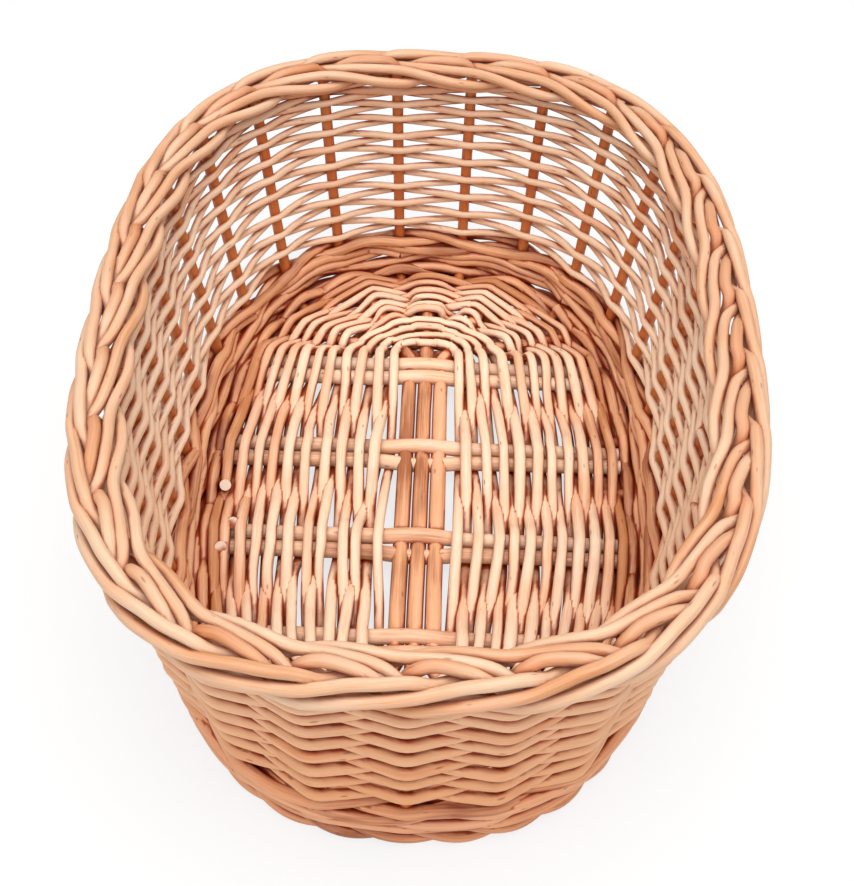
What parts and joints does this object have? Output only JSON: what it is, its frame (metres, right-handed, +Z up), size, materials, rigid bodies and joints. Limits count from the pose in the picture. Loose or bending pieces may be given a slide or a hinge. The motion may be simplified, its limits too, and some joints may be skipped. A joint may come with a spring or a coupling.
{
  "type": "oval wicker basket",
  "caption": "Oval open willow basket: stick-and-weaver base, flared woven side and a rolled rod border, standing on a rope-laid foot.",
  "frame": {"origin": "floor level under the middle of the base", "axes": "+Z up, +Y along the basket's length towards its back, +X to the right seen from the front"},
  "size_m": [0.2902, 0.388, 0.1499],
  "materials": {
    "base_sticks": "peeled buff willow stick, smooth, satin",
    "base_weavers": "pale peeled willow rod, satin",
    "foot_and_upsett": "orange-brown buff willow rod, satin",
    "stakes": "buff willow rod, satin, darker inside the wall",
    "side_weavers": "pale peach peeled willow rod, satin"
  },
  "bodies": {
    "root": {"base_long_stick_1": "base_sticks", "base_long_stick_2": "base_sticks", "base_long_stick_3": "base_sticks", "base_cross_stick_1": "base_sticks", "base_cross_stick_2": "base_sticks", "base_cross_stick_3": "base_sticks", "base_cross_stick_4": "base_sticks", "base_cross_stick_5": "base_sticks", "base_cross_stick_6": "base_sticks", "base_cross_stick_7": "base_sticks", "base_cross_stick_8": "base_sticks", "base_end_spoke_1": "base_sticks", "base_end_spoke_2": "base_sticks", "base_end_spoke_3": "base_sticks", "base_end_spoke_4": "base_sticks", "base_weaver_1": "base_weavers", "base_weaver_2": "base_weavers", "base_weaver_3": "base_weavers", "foot_rod_1": "foot_and_upsett", "foot_rod_2": "foot_and_upsett", "foot_rod_3": "foot_and_upsett", "stake_01": "stakes", "stake_02": "stakes", "stake_03": "stakes", "stake_04": "stakes", "stake_05": "stakes", "stake_06": "stakes", "stake_07": "stakes", "stake_08": "stakes", "stake_09": "stakes", "stake_10": "stakes", "stake_11": "stakes", "stake_12": "stakes", "stake_13": "stakes", "stake_14": "stakes", "stake_15": "stakes", "stake_16": "stakes", "stake_17": "stakes", "stake_18": "stakes", "stake_19": "stakes", "stake_20": "stakes", "stake_21": "stakes", "stake_22": "stakes", "stake_23": "stakes", "stake_24": "stakes", "stake_25": "stakes", "stake_26": "stakes", "stake_27": "stakes", "upsett_rod_1": "foot_and_upsett", "upsett_rod_2": "foot_and_upsett", "upsett_rod_3": "foot_and_upsett", "upsett_rod_4": "foot_and_upsett", "side_weaver_1": "side_weavers", "side_weaver_2": "side_weavers", "side_weaver_3": "side_weavers", "side_weaver_4": "side_weavers", "side_weaver_5": "side_weavers", "side_weaver_6": "side_weavers", "side_weaver_7": "side_weavers", "side_weaver_8": "side_weavers"}
  },
  "joints": []
}
